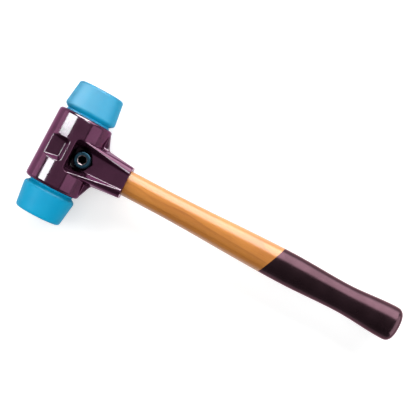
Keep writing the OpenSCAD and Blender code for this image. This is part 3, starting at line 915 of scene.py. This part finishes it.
class HAMMER_OT_stage(bpy.types.Operator):
    """Set the pale floor, the soft studio light and the camera"""
    bl_idname = "hammer.stage"
    bl_label = "Stage"

    def floor(self, s):
        """A pale floor that keeps the shadow and reads as white, also where the lamps' light has faded."""
        reach, gap = 4000 * MM, 0.1 * MM
        corners = [(-reach, -reach, 0), (reach, -reach, 0), (reach, reach, 0), (-reach, reach, 0)]
        mesh = bpy.data.meshes.new("studio_floor")
        mesh.from_pydata(corners, [], [(0, 1, 2, 3)])
        floor = new_object("studio_floor", mesh)
        floor.location.z = CAD_BOX[0].z - gap
        material = bpy.data.materials.new("pale_floor")
        material.use_nodes = True
        tree = material.node_tree
        tree.nodes.clear()
        viewed, mirrored, through = (put(tree, "ShaderNodeLightPath", out=f"Is {kind} Ray")
                                     for kind in ("Camera", "Glossy", "Transmission"))
        seen = calc("MAXIMUM", viewed, calc("MAXIMUM", mirrored, through))
        place = put(tree, "ShaderNodeTexCoord", out="Object")
        away = put(tree, "ShaderNodeVectorMath", {0: place}, out="Value", operation="LENGTH")
        glow = seen * ramp(away, s.fade_start, s.fade_end, s.floor_glow, 1.0)
        matt = put(tree, "ShaderNodeBsdfDiffuse", {"Color": (*s.floor, 1)})
        light = put(tree, "ShaderNodeEmission", {"Strength": glow})
        both = put(tree, "ShaderNodeAddShader", {0: matt, 1: light})
        fill(tree.nodes.new("ShaderNodeOutputMaterial"), {"Surface": both})
        mesh.materials.append(material)

    def studio(self, s):
        """A dim studio round the hammer, darker overhead than at its walls."""
        world = bpy.data.worlds.new("studio")
        world.use_nodes = True
        bpy.context.scene.world = world
        tree = world.node_tree
        up = axes_of(put(tree, "ShaderNodeTexCoord", out="Generated"))[2]
        fill(tree.nodes["Background"], {
            "Color": (1, 1, 1, 1), "Strength": ramp(up, 0.0, 0.8, s.horizon, s.zenith)})

    def card(self, name, aim, azimuth, zenith, distance, width, brightness, pieces, mirrored, tint):
        """A soft card that faces its aim, which sees it between two angles from the zenith.

        It works on the named pieces, or on all of them. They either mirror it or are lit by it."""
        low, high = (math.radians(angle) for angle in zenith)
        lean, tall = (low + high) / 2, 2 * distance * math.tan((high - low) / 2)
        side = Vector((math.cos(math.radians(azimuth)), math.sin(math.radians(azimuth)), 0))
        away = side * math.sin(lean) + Vector((0, 0, math.cos(lean)))
        data = bpy.data.lights.new(name, "AREA")
        data.shape, data.size, data.size_y = "RECTANGLE", width, tall
        data.energy = brightness * math.pi * width * tall
        data.color = tint
        lamp = new_object(name, data)
        lamp.location = Vector(aim) + away * distance
        lamp.rotation_euler = (-away).to_track_quat("-Z", "Y").to_euler()
        lamp.visible_camera = False
        lamp.visible_diffuse, lamp.visible_glossy = not mirrored, mirrored
        if pieces:
            takers = bpy.data.collections.new(name + "_pieces")
            for piece in pieces:
                takers.objects.link(bpy.data.objects[piece])
            lamp.light_linking.receiver_collection = takers

    def cards(self, s):
        """Cards that light the pieces, and cards that show only as highlights on the pieces that mirror them.

        A row holds a card's name, aim, azimuth, two angles from the zenith, distance and width in metres,
        brightness and pieces."""
        castings, handle = ["front_casting", "rear_casting"], ["wooden_handle"]
        upper_face, lower_face = ["upper_soft_face"], ["lower_soft_face"]
        faces = [*upper_face, *lower_face]
        fasteners = ["socket_screw", "hex_nut", "nylon_ring"]
        rest = [*castings, *fasteners, *handle, "studio_floor"]
        middle = Vector((0, 0, HEAD.z))
        upper = Vector((HEAD.x, FACE_HIGH.y - 12 * MM, HEAD.z))
        past_lower = Vector((HEAD.x, -220 * MM, HEAD.z))

        def beside(x=0.0, y=0.0):
            return HEAD + Vector((x, y, 0))

        lamps = (
            ("key_light", middle, 90, (38, 93), 0.9, 1.3, s.key, rest),
            ("face_key_light", HEAD, 5, (-24, 66), 1.0, 1.2, s.face_key, faces),
            ("top_light", middle, -90, (-20, 40), 1.2, 1.4, s.top, []),
            ("side_light", HEAD, 180, (40, 80), 1.0, 1.0, s.side, [*rest, *lower_face]),
        )
        sheens = (
            ("key_sheen", middle, 90, (29, 93), 0.95, 1.3, s.sheen, [*handle, *fasteners]),
            ("handle_sheen", middle, 90, (23, 80), 0.97, 1.3, s.sheen * 0.55, handle),
            ("butt_sheen", HANDLE_HIGH, 0, (32, 100), 0.8, 1.6, s.sheen * 0.8, handle),
            ("face_edge_sheen", HEAD, 90, (56, 90), 0.9, 1.0, s.face_sheen * 2.2, faces),
            ("face_sheen", upper, 90, (0, 34), 1.0, 0.9, s.face_sheen, upper_face),
            ("left_face_sheen", upper, 168, (30, 100), 0.8, 0.8, s.face_sheen * 1.3, upper_face),
            ("right_face_sheen", upper, 12, (30, 100), 0.8, 0.8, s.face_sheen * 0.6, upper_face),
            ("face_streak", past_lower, 180, (30, 52), 0.7, 0.3, s.face_sheen * 0.6, lower_face),
            ("left_fill", HEAD, 180, (68, 92), 0.8, 0.6, s.fill * 1.2, castings),
            ("right_fill", HEAD, 0, (41, 88), 0.8, 0.5, s.fill, castings),
            ("ceiling_card", HEAD, 0, (-26, 36), 0.9, 0.8, s.ceiling, [*castings, *fasteners]),
        )
        head_sheens = (
            ("head_sheen", middle, 90, (29, 93), 0.96, 1.3, s.sheen, castings),
            ("band_sheen", beside(x=0.26), 90, (40, 100), 0.86, 0.24, s.sheen * 0.6, castings),
        )
        strips = (
            ("rim_strip", beside(x=-0.15), 90, (50, 100), 0.8, 0.6, s.strip, castings),
            ("crest_strip", beside(x=0.03), 60, (20, 32), 0.9, 0.4, s.strip * 0.6, castings),
            ("ridge_strip", beside(x=0.085), 90, (36, 75), 0.88, 0.11, s.strip * 0.6, castings),
            ("upper_strip", beside(y=0.09), 180, (27, 55), 0.7, 0.16, s.strip, castings),
            ("lower_strip", beside(y=-0.09), 180, (27, 55), 0.7, 0.16, s.strip, castings),
            ("recess_strip", beside(y=0.08), 180, (55, 68), 0.7, 0.14, s.strip, castings),
        )
        white = (1, 1, 1)
        for rows, mirrored, tint in ((lamps, False, white), (sheens, True, white),
                                     (head_sheens, True, s.sheen_colour), (strips, True, s.strip_colour)):
            for row in rows:
                self.card(*row, mirrored, tint)

    def camera(self, s):
        """A camera that looks straight down, turned so that the handle slants across the view."""
        data = bpy.data.cameras.new("camera")
        data.lens = data.sensor_width * s.camera_height / s.view_width
        camera = new_object("camera", data)
        camera.location = (s.camera_x, s.camera_y, HEAD.z + s.camera_height)
        camera.rotation_euler = (0, 0, s.camera_turn)
        bpy.context.scene.camera = camera

    def execute(self, context):
        s = context.scene.hammer_stage
        context.scene.view_settings.view_transform = "Standard"
        self.floor(s)
        self.studio(s)
        self.cards(s)
        self.camera(s)
        return {"FINISHED"}


class HAMMER_PT_panel(bpy.types.Panel):
    """Lists the hammer's settings and the operators that build it"""
    bl_label = "Soft Face Hammer"
    bl_space_type = "VIEW_3D"
    bl_region_type = "UI"
    bl_category = "Hammer"

    def draw(self, context):
        for operator, settings in STEPS:
            box = self.layout.box()
            box.operator(operator.bl_idname)
            group = getattr(context.scene, settings)
            for name in SETTINGS[settings].__annotations__:
                box.prop(group, name)


STEPS = (
    (HAMMER_OT_housing, "hammer_housing"),
    (HAMMER_OT_faces, "hammer_faces"),
    (HAMMER_OT_clamp_screw, "hammer_fasteners"),
    (HAMMER_OT_lock_nut, "hammer_fasteners"),
    (HAMMER_OT_handle, "hammer_handle"),
    (HAMMER_OT_stage, "hammer_stage"),
)
CLASSES = (*SETTINGS.values(), *(operator for operator, _ in STEPS), HAMMER_PT_panel)


def register():
    for item in CLASSES:
        bpy.utils.register_class(item)
    for name, group in SETTINGS.items():
        setattr(bpy.types.Scene, name, PointerProperty(type=group))


def unregister():
    for name in SETTINGS:
        delattr(bpy.types.Scene, name)
    for item in reversed(CLASSES):
        bpy.utils.unregister_class(item)


def main():
    """Registers the classes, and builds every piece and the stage."""
    register()
    bpy.ops.hammer.housing()
    bpy.ops.hammer.faces()
    bpy.ops.hammer.clamp_screw()
    bpy.ops.hammer.lock_nut()
    bpy.ops.hammer.handle()
    bpy.ops.hammer.stage()


if __name__ == "__main__":
    main()
